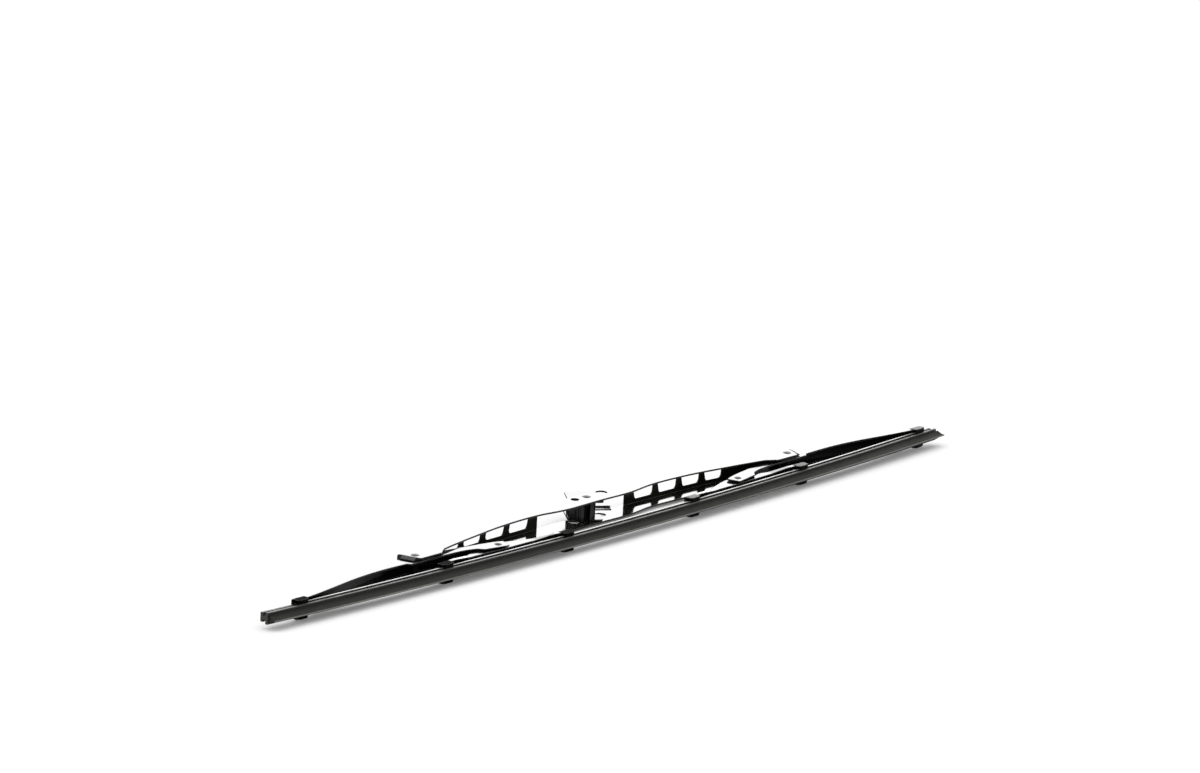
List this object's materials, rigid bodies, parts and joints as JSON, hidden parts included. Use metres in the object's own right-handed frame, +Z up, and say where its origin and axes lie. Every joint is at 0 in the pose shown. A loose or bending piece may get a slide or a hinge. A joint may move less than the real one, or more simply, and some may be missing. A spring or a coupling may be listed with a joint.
{
  "type": "wiper blade",
  "caption": "Framed windscreen wiper blade: an arched windowed bridge, rocking yokes whose claws hold a rubber strip with steel rails, and a swinging clip for the wiper arm's hook.",
  "frame": {"origin": "middle of the lying blade's box, on the surface it rests on", "axes": "+X along the blade, +Y from the rubber's lip toward the bridge's spine, +Z up across the blade as it lies on its side"},
  "size_m": [0.5266, 0.0592, 0.0164],
  "materials": {
    "black_paint": "gloss black paint on folded sheet",
    "rail_steel": "bright spring steel",
    "rivet_steel": "black coated rivets",
    "strip_rubber": "matte dark grey rubber",
    "adapter_plastic": "satin black moulding",
    "liner_plastic": "dark grey moulding"
  },
  "bodies": {
    "bridge": {"primary_bridge": "black_paint", "centre_pin": "rivet_steel", "left_bridge_rivet": "rivet_steel", "right_bridge_rivet": "rivet_steel", "left_bridge_liner": "liner_plastic", "right_bridge_liner": "liner_plastic", "wiper_rubber": "strip_rubber", "upper_rail": "rail_steel", "lower_rail": "rail_steel"},
    "adapter": {"arm_adapter": "adapter_plastic"},
    "left_secondary": {"left_secondary_yoke": "black_paint", "left_yoke_rivet": "rivet_steel"},
    "left_claws": {"left_claw_yoke": "black_paint", "left_yoke_bush": "liner_plastic"},
    "right_secondary": {"right_secondary_yoke": "black_paint", "right_yoke_rivet": "rivet_steel"},
    "right_claws": {"right_claw_yoke": "black_paint", "right_yoke_bush": "liner_plastic"}
  },
  "joints": [
    {"name": "adapter_swing", "type": "hinge", "parent": "bridge", "child": "adapter", "pos_m": [0.007, 0.0131, 0.00889], "axis": [0, -0.1008, 0.9949], "range_deg": [-52, 68]},
    {"name": "left_secondary_rock", "type": "hinge", "parent": "bridge", "child": "left_secondary", "pos_m": [-0.14, -0.00053, 0.00751], "axis": [0, -0.1008, 0.9949], "range_deg": [-4, 4], "stiffness_Nm_per_rad": 0.5, "deforming": ["wiper_rubber", "upper_rail", "lower_rail"]},
    {"name": "left_claw_rock", "type": "hinge", "parent": "left_secondary", "child": "left_claws", "pos_m": [-0.0878, -0.01128, 0.00642], "axis": [0, -0.1008, 0.9949], "range_deg": [-5, 5], "stiffness_Nm_per_rad": 0.5, "deforming": ["wiper_rubber", "upper_rail", "lower_rail"]},
    {"name": "right_secondary_rock", "type": "hinge", "parent": "bridge", "child": "right_secondary", "pos_m": [0.154, -0.00053, 0.00751], "axis": [0, -0.1008, 0.9949], "range_deg": [-4, 4], "stiffness_Nm_per_rad": 0.5, "deforming": ["wiper_rubber", "upper_rail", "lower_rail"]},
    {"name": "right_claw_rock", "type": "hinge", "parent": "right_secondary", "child": "right_claws", "pos_m": [0.1018, -0.01128, 0.00642], "axis": [0, -0.1008, 0.9949], "range_deg": [-5, 5], "stiffness_Nm_per_rad": 0.5, "deforming": ["wiper_rubber", "upper_rail", "lower_rail"]}
  ]
}
